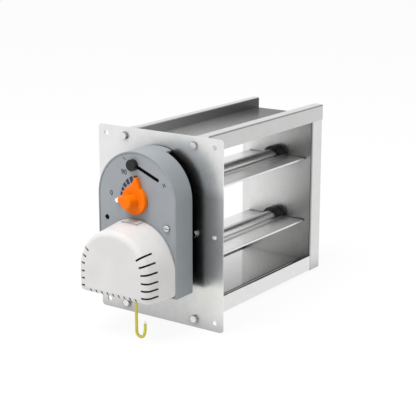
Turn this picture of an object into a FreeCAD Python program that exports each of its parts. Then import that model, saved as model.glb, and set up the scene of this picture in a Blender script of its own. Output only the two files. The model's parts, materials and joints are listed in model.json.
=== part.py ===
import FreeCAD, Part
import math
import os
import re
import Sketcher
from FreeCAD import Rotation, Vector

# Rectangular two-blade damper with a face-mounted rotary actuator.
# Frame of the part: origin at the centre of the mounting plate's back face, +Y into the duct,
# +X the way the air leaves, +Z up. Millimetres.

SIZES = [
    ("plate_width", 161.0, "mounting plate, across"),
    ("plate_height", 203.8, "mounting plate, upright"),
    ("plate_sheet", 1.5, "mounting plate, sheet"),
    ("plate_corner", 4.0, "mounting plate, corner radius"),
    ("duct_hole_across", 140.0, "duct screw holes, spacing across"),
    ("duct_hole_upright", 185.6, "duct screw holes, spacing upright"),
    ("duct_hole_radius", 2.75, "duct screw hole"),
    ("frame_screw_inset", 4.05, "frame screws from the frame's side"),
    ("frame_screw_end", 6.65, "frame screws from the frame's top and bottom"),
    ("screw_radius", 2.1, "frame screw shank"),
    ("screw_hex", 3.9, "frame screw head, corner radius"),
    ("screw_washer", 4.3, "frame screw washer flange radius"),
    ("screw_head", 3.2, "frame screw head height"),
    ("washer_sheet", 0.8, "frame screw washer flange thickness"),
    ("screw_length", 8.0, "frame screw below the head"),
    ("frame_depth", 98.1, "frame along the airflow"),
    ("frame_height", 198.5, "frame, upright"),
    ("frame_length", 251.2, "frame from the plate to its far face"),
    ("frame_sheet", 1.2, "channel sheet"),
    ("lip_width", 18.2, "outer lip of a channel"),
    ("channel_rise", 14.0, "channel brim to web"),
    ("far_rise", 22.4, "far-end channel, brim to web"),
    ("front_brim", 13.0, "channel brim on the leaving-air side"),
    ("rear_brim", 9.0, "channel brim on the entering-air side"),
    ("fold_radius", 1.9, "outside radius of a fold"),
    ("corner_gap", 0.3, "gap round a tucked-in corner tongue"),
    ("blade_pitch", 75.2, "distance between the two blade axes"),
    ("blade_chord", 79.0, "blade across"),
    ("blade_sheet", 1.2, "blade sheet"),
    ("blade_end_gap", 9.7, "near web to blade end"),
    ("far_end_gap", 2.0, "far web to blade end"),
    ("hump_radius", 8.4, "outside of the half-round hump"),
    ("ledge_reach", 15.0, "ledge beside the hump, from the axis"),
    ("ledge_rise", 2.5, "top of the ledge above the axis"),
    ("hem_width", 5.0, "folded hem along a blade edge"),
    ("hem_round", 0.55, "rounding of a blade edge"),
    ("shaft_radius", 4.0, "drive shaft and axles"),
    ("running_gap", 0.05, "radial clearance of a running fit"),
    ("shaft_window", 1.5, "radial room round the drive shaft in plate and face"),
    ("bush_wall", 2.5, "bush sleeve wall"),
    ("bush_flange", 2.6, "bush flange thickness"),
    ("bush_flange_radius", 7.6, "bush flange radius"),
    ("bush_stand", 2.0, "bush sleeve past the web"),
    ("carrier_radius", 11.7, "head and collar of a blade carrier"),
    ("carrier_grip", 30.0, "carrier's plug inside the hump"),
    ("collar_grip", 9.0, "carrier's collar over the hump"),
    ("end_play", 0.3, "axial clearance at a moving face"),
    ("axle_grip", 28.0, "steel axle inside a carrier"),
    ("crank_offset", 12.7, "link pin from the axis, across and upright"),
    ("crank_hub_radius", 6.5, "crank hub"),
    ("crank_start", 3.6, "crank front face behind the plate"),
    ("link_sheet", 2.0, "crank arm and tie rod thickness"),
    ("link_width", 8.0, "crank arm and tie rod width"),
    ("link_eye", 5.2, "eye radius"),
    ("link_pin", 2.5, "link pin radius"),
    ("pin_over", 0.8, "link pin past its clip"),
    ("open_pivot_gap", 0.3, "radial clearance of the opened pivot"),
    ("clip_radius", 4.4, "pin clip"),
    ("clip_sheet", 0.8, "pin clip thickness"),
    ("clip_slit", 1.8, "slit of the pin clip"),
    ("housing_width", 100.0, "actuator housing, across"),
    ("housing_drop", 60.0, "housing bottom below the plate's centre"),
    ("housing_depth", 28.4, "housing wall depth"),
    ("housing_wall", 2.4, "housing wall"),
    ("rim_width", 1.8, "rim round the dial"),
    ("rim_rise", 0.9, "rim above the dial's seat"),
    ("rim_round", 0.6, "rounding of the rim"),
    ("skirt_gap", 1.0, "skirt to plate"),
    ("skirt_turn", 20.0, "skirt's end, degrees right of the top"),
    ("standoff_length", 10.5, "plate to housing"),
    ("standoff_radius", 4.2, "standoff"),
    ("standoff_across", 56.0, "standoffs, spacing across"),
    ("standoff_top", 60.0, "upper standoffs above the centre"),
    ("standoff_low", 46.0, "lower standoffs below the centre"),
    ("small_screw", 1.95, "screw shank in a standoff"),
    ("small_head", 3.5, "small screw head radius"),
    ("small_head_height", 2.3, "small screw head height"),
    ("small_head_round", 1.0, "rounding of a small screw head"),
    ("driver_slot", 1.0, "driver slot, width"),
    ("driver_depth", 0.9, "driver slot, depth"),
    ("standoff_thread", 4.5, "screw grip in a standoff"),
    ("head_room", 0.3, "radial room round a small screw head"),
    ("back_sheet", 1.5, "actuator back plate"),
    ("back_gap", 0.2, "back plate to the housing's walls"),
    ("dial_sheet", 0.5, "dial plate"),
    ("dial_gap", 0.15, "dial plate to rim"),
    ("face_screw_across", 39.0, "face screws from the centre line"),
    ("face_screw_height", 13.5, "face screws above the centre"),
    ("boss_radius", 4.2, "screw boss in the housing"),
    ("boss_start", 0.1, "boss starts behind the face's front"),
    ("face_thread", 20.4, "face screw below its head"),
    ("sunk_depth", 5.0, "depth of the sunk left screw"),
    ("sunk_head", 2.6, "head radius of the sunk left screw"),
    ("knob_radius", 15.0, "position knob disc"),
    ("knob_disc", 5.2, "position knob disc thickness"),
    ("knob_stand", 0.4, "position knob above the dial"),
    ("knob_round", 0.9, "rounding of the knob's disc"),
    ("knob_tip", 24.2, "pointer tip from the axis"),
    ("pointer_tip", 1.1, "pointer, half width at its tip"),
    ("pointer_foot", 6.58, "pointer, half width at its foot"),
    ("pointer_start", 12.7, "pointer's foot from the axis"),
    ("pointer_lean", 7.5, "pointer to the right of the upright, blades open, degrees"),
    ("knob_grip_radius", 6.6, "knob grip"),
    ("knob_grip", 13.4, "knob grip length"),
    ("grip_round", 1.6, "rounding of the knob's grip"),
    ("grip_wall", 4.0, "knob grip in front of the shaft's end"),
    ("knob_nub_reach", 9.8, "nub on the grip, from the axis"),
    ("knob_nub_radius", 4.0, "nub on the grip"),
    ("knob_nub_rise", 2.3, "nub above the axis"),
    ("index_radius", 2.3, "white index pin"),
    ("index_height", 3.2, "white index pin above the dial"),
    ("index_stem", 1.5, "index pin's stem in the dial"),
    ("index_place", 23.2, "index pin from the knob's axis, across"),
    ("index_drop", 3.4, "index pin below the knob's axis"),
    ("slot_start_x", -2.8, "slider slot, minus end, across"),
    ("slot_start_z", 73.7, "slider slot, minus end, upright"),
    ("slot_travel", 32.7, "slider travel"),
    ("slot_tilt", 22.0, "slider slot below the horizontal, degrees"),
    ("slot_width", 3.7, "slider slot"),
    ("guide_wall", 0.7, "guide that lines the slider slot"),
    ("slider_radius", 6.0, "slider knob"),
    ("slider_height", 5.4, "slider knob height"),
    ("slider_round", 0.8, "rounding of the slider knob"),
    ("slider_stand", 0.4, "slider knob above the dial"),
    ("shoe_half", 4.5, "slider shoe, half its side"),
    ("shoe_sheet", 2.0, "slider shoe"),
    ("cover_centre", 32.0, "arch centre of the cover below the plate's centre"),
    ("cover_inset", 0.8, "cover's base inside the housing's side"),
    ("cover_lift", 1.8, "cover's base above the housing's bottom"),
    ("cover_depth", 40.3, "cover from base to front"),
    ("cover_draft", 6.9, "draft of the cover's arch and sides, degrees"),
    ("floor_draft", 2.0, "draft of the cover's bottom, degrees"),
    ("cover_wall", 1.8, "cover wall"),
    ("cover_round", 6.5, "rounding of the cover's front edge"),
    ("cover_corner", 5.0, "rounding of the cover's lower corners"),
    ("tab_half", 10.0, "latch tab, half width"),
    ("tab_top", 16.8, "latch tab, top"),
    ("tab_depth", 12.0, "latch tab, from the cover's base forwards"),
    ("tab_height", 8.0, "latch tab, height"),
    ("tab_round", 0.8, "rounding of the latch tab"),
    ("vent_width", 2.0, "vent slot"),
    ("vent_depth", 16.0, "side vent, length along the side"),
    ("vent_pitch", 7.7, "side vents, pitch"),
    ("vent_start", 2.4, "highest level vent below the arch centre"),
    ("vent_inset", 12.7, "inner end of a side vent inside the cover's base"),
    ("vent_reach", 24.0, "side vent, from its inner end outwards"),
    ("vent_count", 3, "level vents on a side, and as many on the arch"),
    ("fan_start", 9.0, "lowest vent on the arch, degrees above the level"),
    ("fan_pitch", 12.2, "vents on the arch, degrees apart"),
    ("floor_vent_count", 9, "vents along the bottom, an odd number"),
    ("floor_vent_rise", 6.2, "bottom vent's cut above the cover's bottom"),
    ("floor_vent_depth", 5.0, "bottom vent, length along the bottom"),
    ("floor_vent_pitch", 7.3, "bottom vents, pitch"),
    ("gear_pitch", 1.0, "gear module"),
    ("output_teeth", 48, "teeth of the output gear"),
    ("small_teeth", 14, "teeth of the two pinions"),
    ("middle_teeth", 36, "teeth of the intermediate gear"),
    ("gear_face", 5.0, "gear face width"),
    ("output_layer", 12.5, "output gear in front of the back plate"),
    ("middle_layer", 3.5, "intermediate gear in front of the back plate"),
    ("gear_pin_radius", 2.0, "gear pin and motor shaft"),
    ("output_hub", 8.0, "hub of the output gear"),
    ("middle_hub", 4.5, "hub of the intermediate gear"),
    ("collar_sheet", 1.5, "flange and tail of the actuator's bush"),
    ("motor_drop", 29.0, "motor axis below the plate's centre"),
    ("motor_radius", 20.5, "motor can"),
    ("motor_depth", 22.0, "motor can depth"),
    ("can_round", 2.0, "rounding of the motor can"),
    ("nose_radius", 7.0, "motor nose"),
    ("nose_length", 3.0, "motor nose"),
    ("motor_plate", 2.0, "motor mounting plate"),
    ("motor_rim", 1.0, "mounting plate past the motor can"),
    ("motor_window", 4.0, "radial room round the motor shaft in the face"),
    ("ear_reach", 30.0, "motor plate's ears from the centre line"),
    ("ear_half", 5.0, "motor plate's ears, half height"),
    ("ear_screw_across", 26.0, "motor screws from the centre line"),
    ("ear_screw", 1.5, "motor screw shank"),
    ("ear_head", 2.8, "motor screw head"),
    ("ear_head_height", 2.0, "motor screw head height"),
    ("ear_screw_over", 2.0, "motor screw past the housing's face"),
    ("terminal_across", 31.5, "terminal block's middle, across"),
    ("terminal_drop", 43.0, "terminal block's middle below the centre"),
    ("terminal_width", 15.0, "terminal block"),
    ("terminal_height", 14.0, "terminal block"),
    ("terminal_depth", 14.0, "terminal block"),
    ("terminal_hole", 1.8, "terminal hole"),
    ("terminal_pitch", 4.0, "terminal holes, pitch"),
    ("terminal_sink", 8.0, "terminal hole depth"),
    ("switch_inner", 5.0, "limit switch from the centre line"),
    ("switch_length", 19.0, "limit switch"),
    ("switch_drop", 22.2, "limit switch's underside below the top of the housing's inside"),
    ("switch_height", 9.0, "limit switch"),
    ("switch_depth", 6.0, "limit switch"),
    ("lever_sheet", 0.6, "limit switch lever"),
    ("lever_inset", 1.0, "lever shorter than its case at each end"),
    ("lead_radius", 1.55, "yellow lead"),
    ("lead_hole", 2.7, "hole for the grommet in the cover"),
    ("lead_across", 15.0, "yellow lead, place across"),
    ("lead_forward", 61.5, "yellow lead, before the plate's back face"),
    ("grommet_radius", 4.0, "grommet flange"),
    ("grommet_sheet", 1.3, "grommet flange thickness"),
    ("grommet_core", 2.65, "grommet between its flanges"),
    ("tip_radius", 0.6, "bare conductor"),
    ("tip_length", 3.0, "bare conductor"),
]

# Places that follow from the sizes above, written as expressions of their names.
PLACES = {
    "axis_z": "blade_pitch/2",
    "half_depth": "frame_depth/2",
    "half_height": "frame_height/2",
    "front_wall": "frame_depth/2 - front_brim",
    "rear_wall": "frame_depth/2 - rear_brim",
    "web_z": "frame_height/2 - channel_rise",
    "frame_screw_x": "half_depth - frame_screw_inset",
    "frame_screw_z": "half_height - frame_screw_end",
    "far_web": "frame_length - far_rise",
    "blade_near": "channel_rise + blade_end_gap",
    "blade_far": "far_web - far_end_gap",
    "near_head": "channel_rise + bush_flange + end_play",
    "far_head": "far_web - end_play",
    "sleeve_radius": "shaft_radius + running_gap + bush_wall",
    "near_bush_front": "channel_rise - frame_sheet - bush_stand",
    "near_bush_back": "channel_rise + bush_flange",
    "far_flange_front": "far_web + frame_sheet",
    "far_flange_back": "far_flange_front + bush_flange",
    "far_bush_back": "far_flange_back + bush_stand",
    "plate_front": "-plate_sheet",
    "housing_back": "plate_front - standoff_length",
    "housing_front": "housing_back - housing_depth",
    "housing_half": "housing_width/2",
    "housing_inside": "housing_front + housing_wall",
    "cavity_half": "housing_half - housing_wall",
    "dial_back": "housing_front + rim_rise",
    "dial_front": "dial_back - dial_sheet",
    "dial_half": "housing_half - rim_width",
    "back_plate_front": "housing_back - back_sheet",
    "knob_back": "dial_front - knob_stand",
    "knob_front": "knob_back - knob_disc",
    "grip_front": "knob_front - knob_grip",
    "gear_z": "axis_z - gear_pitch*(output_teeth + small_teeth)/2",
    "motor_z": "gear_z - gear_pitch*(middle_teeth + small_teeth)/2",
    "output_back": "back_plate_front - output_layer",
    "output_front": "output_back - gear_face",
    "middle_back": "back_plate_front - middle_layer",
    "middle_front": "middle_back - gear_face",
    "collar_front": "back_plate_front - collar_sheet",
    "mount_front": "dial_front - motor_plate",
    "motor_front": "mount_front - motor_depth",
    "slider_back": "dial_front - slider_stand",
    "slider_front": "slider_back - slider_height",
    "guide_slot": "slot_width - 2*guide_wall",
    "index_z": "axis_z - index_drop",
    "switch_low": "axis_z + cavity_half - switch_drop",
    "cover_radius": "housing_half - cover_inset",
    "cover_bottom": "housing_drop - cover_lift",
    "vent_inner": "cover_radius - vent_inset",
    "cover_front": "housing_front - cover_depth",
    "cover_inner": "cover_front + cover_wall",
    "pin_z": "axis_z + crank_offset",
    "crank_back": "near_bush_front - end_play",
    "arm_front": "crank_start + link_sheet",
    "rod_front": "arm_front + end_play",
    "rod_back": "rod_front + link_sheet",
    "clip_front": "rod_back + end_play",
    "clip_back": "clip_front + clip_sheet",
    "arm_half": "link_width/2/sqrt(2)",
    "floor_z": "-cover_bottom + floor_slope*(lead_forward + housing_front)",
    "grommet_slack": "floor_slope*grommet_radius + running_gap",
}

doc = FreeCAD.newDocument("rectangular_damper")
sheet = doc.addObject("Spreadsheet::Sheet", "sizes")
for row, (alias, value, note) in enumerate(SIZES, 1):
    sheet.set(f"A{row}", note)
    sheet.set(f"B{row}", str(value))
    sheet.setAlias(f"B{row}", alias)
doc.recompute()
VALUES = {alias: value for alias, value, note in SIZES}
SLOPES = {"draft_slope": math.tan(math.radians(VALUES["cover_draft"])),
          "floor_slope": math.tan(math.radians(VALUES["floor_draft"])),
          "lean_run": math.cos(math.radians(VALUES["pointer_lean"])),
          "lean_fall": math.sin(math.radians(VALUES["pointer_lean"])),
          "slot_run": math.cos(math.radians(VALUES["slot_tilt"])),
          "slot_fall": math.sin(math.radians(VALUES["slot_tilt"]))}
PLACES.update({name: f"{value:.9f}" for name, value in SLOPES.items()})
NODES = []


def replaced(text, names):
    """The expression with each place written out and each size name swapped for names[size]."""
    def swap(match):
        word = match.group(0)
        if word in PLACES:
            return "(" + replaced(PLACES[word], names) + ")"
        return names.get(word, word)
    return re.sub(r"[a-z_][a-z_0-9]*", swap, str(text))


def bound(text):
    return replaced(text, {alias: "sizes." + alias for alias in VALUES})


def number(text):
    """The value of an expression, for what takes a number and no expression."""
    return FreeCAD.Units.Quantity(replaced(text, {k: f"({v})" for k, v in VALUES.items()})).Value


def bind(thing, **properties):
    for name, text in properties.items():
        thing.setExpression(name.replace("__", "."), bound(text))


def box(name, x, y, z):
    """A block between two expressions along each axis."""
    block = doc.addObject("Part::Box", name)
    bind(block, Placement__Base__x=x[0], Placement__Base__y=y[0], Placement__Base__z=z[0],
         Length=f"({x[1]}) - ({x[0]})", Width=f"({y[1]}) - ({y[0]})", Height=f"({z[1]}) - ({z[0]})")
    return block


TURNS = {"X": Rotation(Vector(0, 1, 0), 90), "Y": Rotation(Vector(1, 0, 0), -90), "Z": Rotation()}


def rod(name, radius, x, y, z, along="Y"):
    """A cylinder; the axis that it lies along takes a pair of expressions, the others one each."""
    spans = {"X": x, "Y": y, "Z": z}
    low, high = spans[along]
    start = [span[0] if isinstance(span, tuple) else span for span in (x, y, z)]
    bar = doc.addObject("Part::Cylinder", name)
    bar.Placement = FreeCAD.Placement(Vector(), TURNS[along])
    bind(bar, Radius=radius, Height=f"({high}) - ({low})", Placement__Base__x=start[0],
         Placement__Base__y=start[1], Placement__Base__z=start[2])
    return bar


def fuse(name, *shapes):
    whole = doc.addObject("Part::MultiFuse", name)
    whole.Shapes = list(shapes)
    whole.Refine = True
    return whole


def cut(name, base, *tools):
    rest = doc.addObject("Part::Cut", name)
    rest.Base = base
    rest.Tool = tools[0] if len(tools) == 1 else fuse(name + "_tools", *tools)
    rest.Refine = True
    return rest


def common(name, first, second):
    overlap = doc.addObject("Part::MultiCommon", name)
    overlap.Shapes = [first, second]
    return overlap


def group(name, *shapes):
    """Identical pieces that share one node, each its own solid."""
    bundle = doc.addObject("Part::Compound", name)
    bundle.Links = list(shapes)
    return bundle


def rounded(name, base, radius, wanted):
    doc.recompute()
    size = number(radius)
    smooth = doc.addObject("Part::Fillet", name)
    smooth.Base = base
    smooth.Edges = [(i, size, size) for i, edge in enumerate(base.Shape.Edges, 1) if wanted(edge)]
    return smooth


def node(name, thing):
    thing.Label = name
    NODES.append((name, thing))
    return thing


def near(value, text, slack=0.02):
    return abs(value - number(text)) < slack


def sketch_in(body, role, offset):
    sketch = body.newObject("Sketcher::SketchObject", body.Name + "_sketch")
    plane = next(item for item in body.Origin.OriginFeatures if item.Role == role)
    sketch.AttachmentSupport = (plane, [""])
    sketch.MapMode = "FlatFace"
    bind(sketch, AttachmentOffset__Base__z=offset)
    return sketch


def fix_start(sketch, line, x, y):
    for kind, text in (("DistanceX", x), ("DistanceY", y)):
        index = sketch.addConstraint(Sketcher.Constraint(kind, -1, 1, line, 1, number(text)))
        sketch.setExpression(f"Constraints[{index}]", bound(text))


def outline(sketch, corners):
    """A closed outline of straight lines with every corner fixed."""
    spots = [Vector(number(x), number(y), 0) for x, y in corners]
    for i, start in enumerate(spots):
        sketch.addGeometry(Part.LineSegment(start, spots[(i + 1) % len(spots)]), False)
    for i, corner in enumerate(corners):
        sketch.addConstraint(Sketcher.Constraint("Coincident", i, 2, (i + 1) % len(corners), 1))
        fix_start(sketch, i, *corner)


def padded(name, role, offset, length, corners, forward=True):
    """A body with one sketch and one pad; forward pads along the sketch plane's own normal."""
    body = doc.addObject("PartDesign::Body", name)
    sketch = sketch_in(body, role, offset)
    outline(sketch, corners)
    pad = body.newObject("PartDesign::Pad", name + "_pad")
    pad.Profile = sketch
    pad.Reversed = not forward
    bind(pad, Length=length)
    doc.recompute()
    return body


def body_fillet(body, radius, wanted):
    tip = body.Tip
    names = [f"Edge{i}" for i, edge in enumerate(tip.Shape.Edges, 1) if wanted(edge)]
    smooth = body.newObject("PartDesign::Fillet", f"{body.Name}_fillet_{len(body.Group)}")
    smooth.Base = (tip, names)
    bind(smooth, Radius=radius)
    body.Tip = smooth
    doc.recompute()


# Mounting plate

def along(edge, axis):
    """Whether an edge is straight and lies along X, Y or Z."""
    if edge.Curve.TypeId != "Part::GeomLine":
        return False
    way = edge.tangentAt(edge.FirstParameter)
    return abs(abs((way.x, way.y, way.z)["XYZ".index(axis)]) - 1) < 1e-6


half_w, half_h = "plate_width/2", "plate_height/2"
plate_corners = [(f"-{half_w}", f"-{half_h}"), (half_w, f"-{half_h}"), (half_w, half_h),
                 (f"-{half_w}", half_h)]
blank = padded("plate_blank", "XZ_Plane", "0", "plate_sheet", plate_corners)
body_fillet(blank, "plate_corner", lambda edge: along(edge, "Y"))
plate_span = ("-plate_sheet - 1", "1")
plate_holes = []
for side in ("-", ""):
    for level in ("-1", "0", "1"):
        plate_holes.append(rod("duct_hole", "duct_hole_radius", f"{side}duct_hole_across/2", plate_span,
                               f"{level}*duct_hole_upright/2"))
        plate_holes.append(rod("frame_hole", "screw_radius + running_gap", f"{side}frame_screw_x",
                               plate_span, f"{level}*frame_screw_z"))
STANDOFFS = [("standoff_across/2", "standoff_top"), ("-standoff_across/2", "standoff_top"),
             ("standoff_across/2", "-standoff_low"), ("-standoff_across/2", "-standoff_low")]
for x, z in STANDOFFS:
    plate_holes.append(rod("standoff_hole", "small_screw + running_gap", x, plate_span, z))
plate_holes.append(rod("shaft_hole", "shaft_radius + shaft_window", "0", plate_span, "axis_z"))
node("mounting_plate", cut("mounting_plate", blank, *plate_holes))

# Frame channels. Three are hat sections, whose web faces the air and whose brims turn back as
# lips. The far-end channel's web takes the whole width, and its brims turn back inwards.

HAT = [
    ("half_depth", "lip_width"), ("half_depth", "0"), ("front_wall", "0"),
    ("front_wall", "channel_rise - frame_sheet"), ("-rear_wall", "channel_rise - frame_sheet"),
    ("-rear_wall", "0"), ("-half_depth", "0"), ("-half_depth", "lip_width"),
    ("-half_depth + frame_sheet", "lip_width"), ("-half_depth + frame_sheet", "frame_sheet"),
    ("-rear_wall - frame_sheet", "frame_sheet"), ("-rear_wall - frame_sheet", "channel_rise"),
    ("front_wall + frame_sheet", "channel_rise"), ("front_wall + frame_sheet", "frame_sheet"),
    ("half_depth - frame_sheet", "frame_sheet"), ("half_depth - frame_sheet", "lip_width")]
HAT_FOLDS = [[HAT[i] for i in (1, 2, 5, 6, 11, 12)], [HAT[i] for i in (3, 4, 9, 10, 13, 14)]]
CEE = [
    ("half_depth", "far_rise"), ("half_depth", "0"), ("front_wall", "0"), ("front_wall", "frame_sheet"),
    ("half_depth - frame_sheet", "frame_sheet"), ("half_depth - frame_sheet", "far_rise - frame_sheet"),
    ("-half_depth + frame_sheet", "far_rise - frame_sheet"), ("-half_depth + frame_sheet", "frame_sheet"),
    ("-rear_wall", "frame_sheet"), ("-rear_wall", "0"), ("-half_depth", "0"), ("-half_depth", "far_rise")]
CEE_FOLDS = [[CEE[i] for i in (0, 1, 10, 11)], [CEE[i] for i in (4, 5, 6, 7)]]


def channel(name, section, folds, role, depth_at, offset, length, forward):
    """A folded channel; depth_at turns a depth below its brims into the sketch's second coordinate.
    folds holds the section's corners that are the outsides and the insides of folds."""
    body = padded(name + "_section", role, offset, length, [(x, depth_at(u)) for x, u in section],
                  forward=forward)
    run, second = ("Y", 2) if role == "XZ_Plane" else ("Z", 1)

    def at(spots):
        places = [(number(x), number(depth_at(u))) for x, u in spots]

        def wanted(edge):
            if not along(edge, run):
                return False
            point = edge.Vertexes[0].Point
            return any(abs(point.x - x) < 0.01 and abs(point[second] - v) < 0.01 for x, v in places)
        return wanted
    body_fillet(body, "fold_radius", at(folds[0]))
    body_fillet(body, "fold_radius - frame_sheet", at(folds[1]))
    return body


SIDES = {"front": ("front_wall + frame_sheet", "half_depth - frame_sheet", "half_depth + 1"),
         "rear": ("-rear_wall - frame_sheet", "-half_depth + frame_sheet", "-half_depth - 1")}


def span(first, second):
    """The two expressions in rising order."""
    return (first, second) if number(first) < number(second) else (second, first)


def lip_cuts(name, along_y, along_z):
    """What is cut from a channel's sides where the lips of the next one pass outside them."""
    tools = []
    for side, (wall, lip, outside) in SIDES.items():
        sign = "1" if side == "front" else "-1"
        across = span(f"{lip} - corner_gap*{sign}", outside)
        tools.append(box(f"{name}_{side}_lip", across, along_y, along_z))
    return tools


def brim_cuts(name, along_y, along_z):
    """What is cut from behind a hat's brims so that only a narrow tongue of the brim goes on."""
    return [box(f"{name}_{side}_room", span(wall, outside), along_y, along_z)
            for side, (wall, lip, outside) in SIDES.items()]


def tongues(name, along_y, along_z):
    pieces = []
    for side, (wall, lip, outside) in SIDES.items():
        sign = "1" if side == "front" else "-1"
        across = span(f"{wall} + corner_gap*{sign}", f"{lip} - corner_gap*{sign}")
        pieces.append(box(f"{name}_{side}_tongue", across, along_y, along_z))
    return pieces


web_hole = "sleeve_radius + running_gap"
bores = [("0", "axis_z"), ("0", "-axis_z")]


def behind_plate(depth):
    return depth


near_blank = channel("near_end", HAT, HAT_FOLDS, "XY_Plane", behind_plate, "-half_height",
                     "frame_height", True)
near_tools = [box("near_notch_top", ("-rear_wall", "front_wall"), ("channel_rise/2", "channel_rise + 1"),
                  ("web_z + frame_sheet", "half_height + 1")),
              box("near_notch_bottom", ("-rear_wall", "front_wall"), ("channel_rise/2", "channel_rise + 1"),
                  ("-half_height - 1", "-web_z - frame_sheet"))]
for x, z in bores:
    near_tools.append(rod("near_bore", web_hole, x, ("channel_rise/2", "channel_rise + 1"), z))
for side in ("-", ""):
    for level in ("-1", "0", "1"):
        near_tools.append(rod("brim_hole", "screw_radius + running_gap", f"{side}frame_screw_x",
                              ("-1", "frame_sheet + 1"), f"{level}*frame_screw_z"))
node("near_end_channel", cut("near_end_channel", near_blank, *near_tools))


def before_far_face(depth):
    return f"frame_length - ({depth})"


far_blank = channel("far_end", CEE, CEE_FOLDS, "XY_Plane", before_far_face, "-half_height",
                    "half_height + web_z", True)
far_tools = lip_cuts("far_top", ("far_web - 1", "frame_length + 1"),
                     ("half_height - lip_width", "web_z + 1"))
for x, z in bores:
    far_tools.append(rod("far_bore", web_hole, x, ("far_web - 1", "far_web + 5"), z))
far_cut = cut("far_end_cut", far_blank, *far_tools)
far_tongues = tongues("far_top", ("frame_length - frame_sheet", "frame_length"),
                      ("web_z - 1", "half_height - frame_sheet - corner_gap"))
node("far_end_channel", fuse("far_end_channel", far_cut, *far_tongues))


def level_channel(name, top):
    """The top or bottom channel, which butts on the near end's web."""
    sign = "" if top else "-"
    end = "frame_length" if top else "far_web"

    def from_outside(depth):
        return f"{sign}(half_height - ({depth}))"
    body = channel(name, HAT, HAT_FOLDS, "XZ_Plane", from_outside, "-channel_rise",
                   f"{end} - channel_rise", False)
    whole = span(f"{sign}(half_height - lip_width - 1)", f"{sign}(half_height + 1)")
    under = span(f"{sign}(half_height - lip_width - 1)", f"{sign}(half_height - frame_sheet)")
    brim = span(f"{sign}(half_height - frame_sheet)", f"{sign}half_height")
    near_y = ("channel_rise - 1", "lip_width")
    tools = lip_cuts(name + "_near", near_y, whole) + brim_cuts(name + "_near", near_y, under)
    parts = tongues(name + "_near", ("frame_sheet + corner_gap", "channel_rise + 1"), brim)
    return fuse(name + "_channel", cut(name + "_cut", body, *tools), *parts)


node("top_channel", level_channel("top", True))
node("bottom_channel", level_channel("bottom", False))


def hex_screw(name, x, z):
    head = doc.addObject("Part::Prism", name + "_hex")
    head.Polygon = 6
    head.Placement = FreeCAD.Placement(Vector(), TURNS["Y"])
    bind(head, Circumradius="screw_hex", Height="screw_head", Placement__Base__x=x,
         Placement__Base__y="plate_front - screw_head", Placement__Base__z=z)
    washer = rod(name + "_washer", "screw_washer", x, ("plate_front - washer_sheet", "plate_front"), z)
    shank = rod(name + "_shank", "screw_radius", x,
                ("plate_front - washer_sheet", "plate_front + screw_length"), z)
    return fuse(name, head, washer, shank)


node("frame_screws", group("frame_screws", *[
    hex_screw(f"frame_screw_{i}", f"{side}frame_screw_x", f"{level}*frame_screw_z")
    for i, (side, level) in enumerate([(s, v) for s in ("-", "") for v in ("-1", "0", "1")], 1)]))

# Blades, their carriers and bushes

BLADES = {"upper": "axis_z", "lower": "-axis_z"}


def blade(name, level):
    along_y = ("blade_near", "blade_far")
    under, over = f"{level} - blade_sheet/2", f"{level} + blade_sheet/2"
    ledge, ledge_under = f"{level} + ledge_rise", f"{level} + ledge_rise - blade_sheet"
    pieces = []
    for side, sign in (("front", 1), ("rear", -1)):
        edge, bend = f"{sign}*blade_chord/2", f"{sign}*ledge_reach"
        flat = span(f"{sign}*(ledge_reach - blade_sheet)", edge)
        riser = span(f"{sign}*(ledge_reach - blade_sheet)", bend)
        shelf = span(f"{sign}*(hump_radius - blade_sheet/2)", bend)
        hem = span(f"{sign}*(blade_chord/2 - hem_width)", edge)
        pieces.append(box(f"{name}_{side}_flat", flat, along_y, (under, over)))
        pieces.append(box(f"{name}_{side}_riser", riser, along_y, (under, ledge)))
        pieces.append(box(f"{name}_{side}_ledge", shelf, along_y, (ledge_under, ledge)))
        pieces.append(box(f"{name}_{side}_hem", hem, along_y, (f"{under} - blade_sheet", under)))
    skin = cut(f"{name}_ring", rod(f"{name}_ring_out", "hump_radius", "0", along_y, level),
               rod(f"{name}_ring_in", "hump_radius - blade_sheet", "0", along_y, level))
    above = box(f"{name}_above", ("-hump_radius", "hump_radius"), along_y,
                (ledge_under, f"{level} + hump_radius"))
    hump = common(f"{name}_hump", skin, above)
    room = rod(f"{name}_room", "hump_radius - blade_sheet", "0", along_y, level)
    sharp = cut(f"{name}_sharp", fuse(f"{name}_sheet", hump, *pieces), room)

    def outer_edge(edge):
        return along(edge, "Y") and abs(abs(edge.Vertexes[0].Point.x) - number("blade_chord/2")) < 0.01
    return rounded(f"{name}_blade", sharp, "hem_round", outer_edge)


def carrier(name, level, end, outward, head_end, stub_end=None):
    """A blade carrier: head outside the blade end, plug inside the hump, collar over it. It has a
    stub axle, or where there is no stub_end a bore for a steel one."""
    inner = f"{end} - {outward}*carrier_grip"
    head = rod(f"{name}_head", "carrier_radius", "0", span(end, head_end), level)
    plug = rod(f"{name}_plug", "hump_radius - blade_sheet - running_gap", "0", span(inner, end), level)
    collar_y = span(f"{end} - {outward}*collar_grip", end)
    ring = cut(f"{name}_ring", rod(f"{name}_ring_out", "carrier_radius", "0", collar_y, level),
               rod(f"{name}_ring_in", "hump_radius + running_gap", "0", collar_y, level))
    above = box(f"{name}_above", ("-carrier_radius", "carrier_radius"), collar_y,
                (f"{level} + ledge_rise + running_gap", f"{level} + carrier_radius"))
    collar = common(f"{name}_collar", ring, above)
    if stub_end:
        stub = rod(f"{name}_stub", "shaft_radius", "0", span(end, stub_end), level)
        return fuse(name, head, plug, collar, stub)
    bore = rod(f"{name}_bore", "shaft_radius + running_gap", "0",
               span(f"{end} - {outward}*(axle_grip + 1)", f"{head_end} + {outward}*1"), level)
    return cut(name, fuse(f"{name}_solid", head, plug, collar), bore)


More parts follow.
